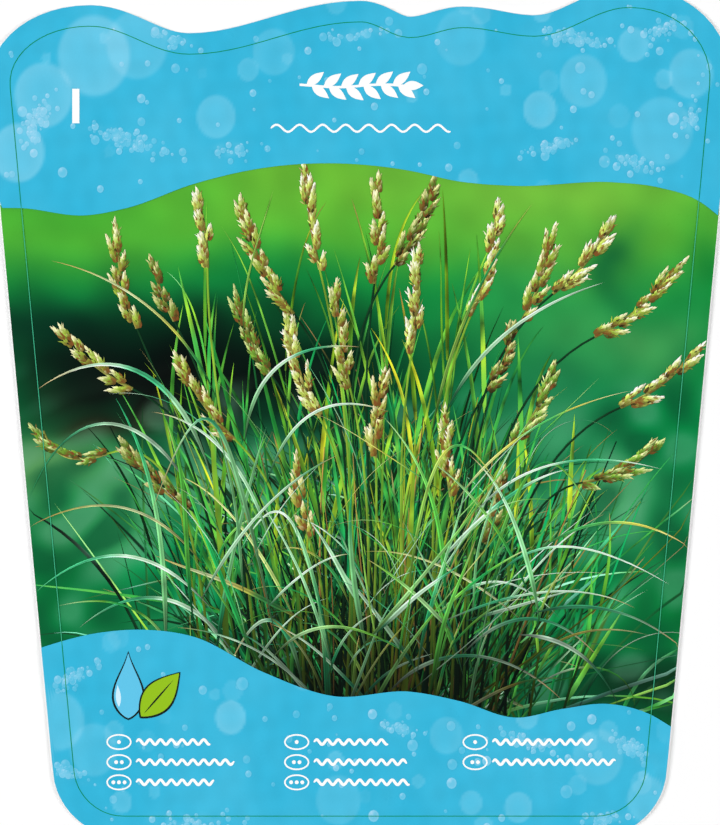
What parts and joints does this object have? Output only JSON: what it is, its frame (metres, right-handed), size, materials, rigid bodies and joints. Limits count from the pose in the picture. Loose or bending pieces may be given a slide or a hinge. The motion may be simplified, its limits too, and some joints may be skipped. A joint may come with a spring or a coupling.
{
  "type": "plant label",
  "caption": "Flat die-cut plastic plant label with a wavy top, tapered sides and round corners; names a plant on its pot.",
  "frame": {"origin": "middle of the label's back, at the centre of its outline's bounding box, on the surface it lies on", "axes": "+Z out of the printed face, +Y from the foot to the wavy top, +X to the right as the print is read"},
  "size_m": [0.1032, 0.1184, 0.0005],
  "materials": {
    "label_plastic": "opaque white sheet, satin",
    "print": "printed colour picture under a satin varnish"
  },
  "bodies": {
    "root": {"label_sheet": "label_plastic"}
  },
  "joints": []
}
